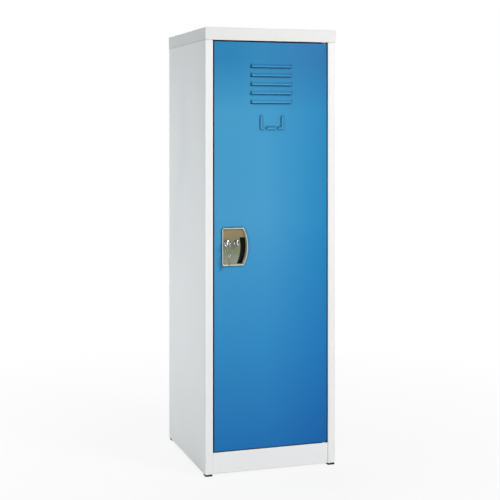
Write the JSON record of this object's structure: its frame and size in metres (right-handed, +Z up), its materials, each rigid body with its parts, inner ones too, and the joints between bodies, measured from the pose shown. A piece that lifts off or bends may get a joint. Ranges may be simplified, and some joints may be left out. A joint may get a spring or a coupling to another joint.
{
  "type": "school locker",
  "caption": "Tall steel locker on small feet, with a louvred door, a card holder, a recessed key-lock handle with a padlock hasp, and a hat shelf over a coat rod.",
  "frame": {"origin": "on the floor, at the centre of the whole object's footprint, keys included", "axes": "+Z up, the door faces -Y, +X to the right of somebody who faces the door, which is the hinge side"},
  "size_m": [0.384, 0.412, 1.2192],
  "materials": {
    "body_enamel": "semi-gloss light grey enamel",
    "door_enamel": "semi-gloss blue enamel",
    "handle_finish": "satin bronze-toned plating",
    "chrome_plate": "bright chrome",
    "polished_steel": "polished",
    "zinc_plate": "zinc plated",
    "black_plastic": "matte",
    "rubber": "matte",
    "nylon": "matte"
  },
  "bodies": {
    "cabinet": {"back_panel": "body_enamel", "coat_hook_left": "zinc_plate", "coat_hook_right": "zinc_plate", "coat_rod": "polished_steel", "door_bumper_lower": "rubber", "door_bumper_upper": "rubber", "floor_pan": "body_enamel", "foot_front_left": "black_plastic", "foot_front_right": "black_plastic", "foot_gusset_front_left": "body_enamel", "foot_gusset_front_right": "body_enamel", "foot_gusset_rear_left": "body_enamel", "foot_gusset_rear_right": "body_enamel", "foot_rear_left": "black_plastic", "foot_rear_right": "black_plastic", "hat_shelf": "body_enamel", "header_rail": "body_enamel", "hinge_bush_lower": "nylon", "hinge_bush_upper": "nylon", "hook_nut_left": "zinc_plate", "hook_nut_right": "zinc_plate", "kick_plate": "body_enamel", "left_side_panel": "body_enamel", "right_side_panel": "body_enamel", "rod_socket_left": "zinc_plate", "rod_socket_right": "zinc_plate", "shelf_ledge_left": "body_enamel", "shelf_ledge_right": "body_enamel", "shelf_screw_left_front": "zinc_plate", "shelf_screw_left_rear": "zinc_plate", "shelf_screw_right_front": "zinc_plate", "shelf_screw_right_rear": "zinc_plate", "socket_nut_left": "zinc_plate", "socket_nut_right": "zinc_plate", "top_cap": "body_enamel"},
    "door": {"door_panel": "door_enamel", "door_stiffener": "door_enamel", "hinge_pin_upper": "polished_steel", "hinge_pin_lower": "polished_steel", "pin_bracket_upper": "door_enamel", "pin_bracket_lower": "door_enamel", "handle_plate": "handle_finish", "lock_strap": "zinc_plate", "lock_barrel": "chrome_plate", "lock_nut": "zinc_plate", "hasp_sleeve": "chrome_plate", "hasp_nut": "zinc_plate"},
    "lock_cylinder": {"lock_plug": "chrome_plate", "lock_cam": "zinc_plate", "lock_cam_screw": "zinc_plate"},
    "key": {"key": "polished_steel"},
    "key_ring": {"key_ring": "polished_steel"},
    "spare_key": {"spare_key": "polished_steel"},
    "hasp": {"hasp_knob": "chrome_plate", "hasp_cam": "zinc_plate", "hasp_cam_screw": "zinc_plate"}
  },
  "joints": [
    {"name": "door_swing", "type": "hinge", "parent": "cabinet", "child": "door", "pos_m": [0.1574, -0.17, 0.62375], "axis": [0, 0, 1], "range_deg": [0, 115]},
    {"name": "key_turn", "type": "hinge", "parent": "door", "child": "lock_cylinder", "pos_m": [-0.1288, -0.176, 0.6307], "axis": [0, 1, 0], "range_deg": [0, 90]},
    {"name": "key_withdraw", "type": "slide", "parent": "lock_cylinder", "child": "key", "axis": [0, -1, 0], "range_m": [0, 0.022]},
    {"name": "ring_swing", "type": "hinge", "parent": "key", "child": "key_ring", "pos_m": [-0.1288, -0.196, 0.625], "axis": [-1, 0, 0], "range_deg": [-4, 60]},
    {"name": "spare_key_swing", "type": "hinge", "parent": "key_ring", "child": "spare_key", "pos_m": [-0.1288, -0.196, 0.604], "axis": [-1, 0, 0], "range_deg": [-4, 45]},
    {"name": "hasp_turn", "type": "hinge", "parent": "door", "child": "hasp", "pos_m": [-0.101, -0.176, 0.6305], "axis": [0, 1, 0], "range_deg": [0, 90]}
  ]
}
